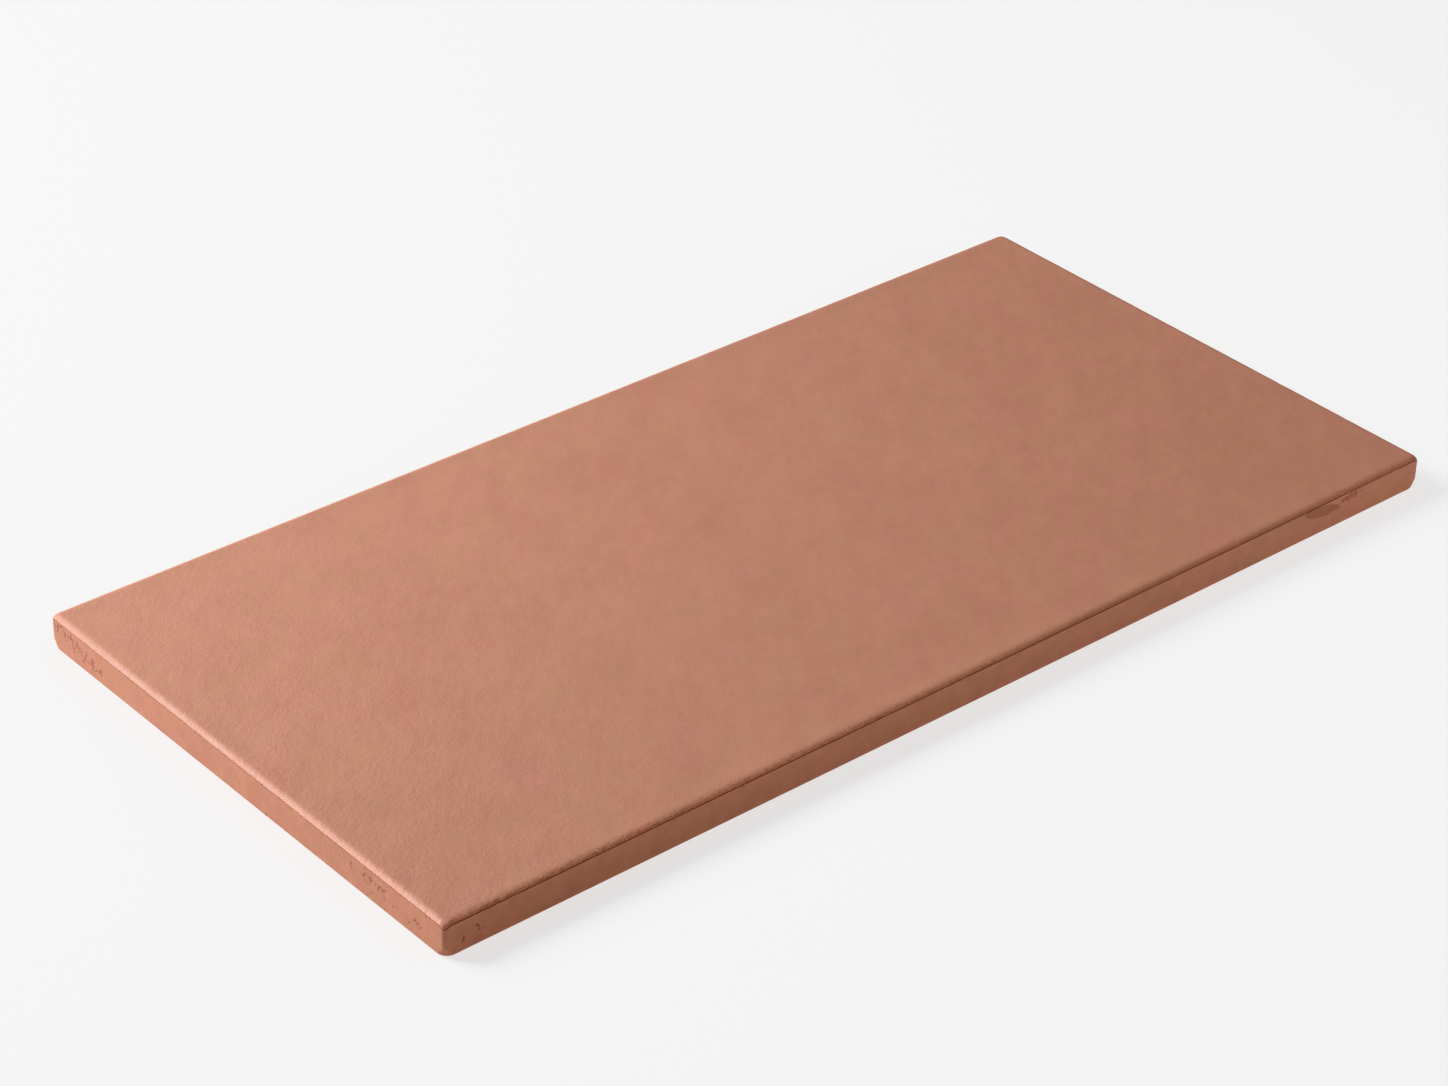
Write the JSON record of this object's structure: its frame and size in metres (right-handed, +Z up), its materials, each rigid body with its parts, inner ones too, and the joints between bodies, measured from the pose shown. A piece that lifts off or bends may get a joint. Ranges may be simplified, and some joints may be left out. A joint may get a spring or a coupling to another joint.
{
  "type": "ceramic floor tile",
  "caption": "Rectangular unglazed terracotta floor tile with a rounded lip round its wear face, plain straight walls and a shallow keyed back for bedding.",
  "frame": {"origin": "centre of the bedding plane, where the keyed back lies on the floor", "axes": "+X along the length, +Y along the width, +Z up out of the wear face"},
  "size_m": [0.297, 0.147, 0.009],
  "materials": {
    "fired_clay": "matte, unglazed, with a fine pressed grain and faint clouding"
  },
  "bodies": {
    "root": {"floor_tile": "fired_clay"}
  },
  "joints": []
}
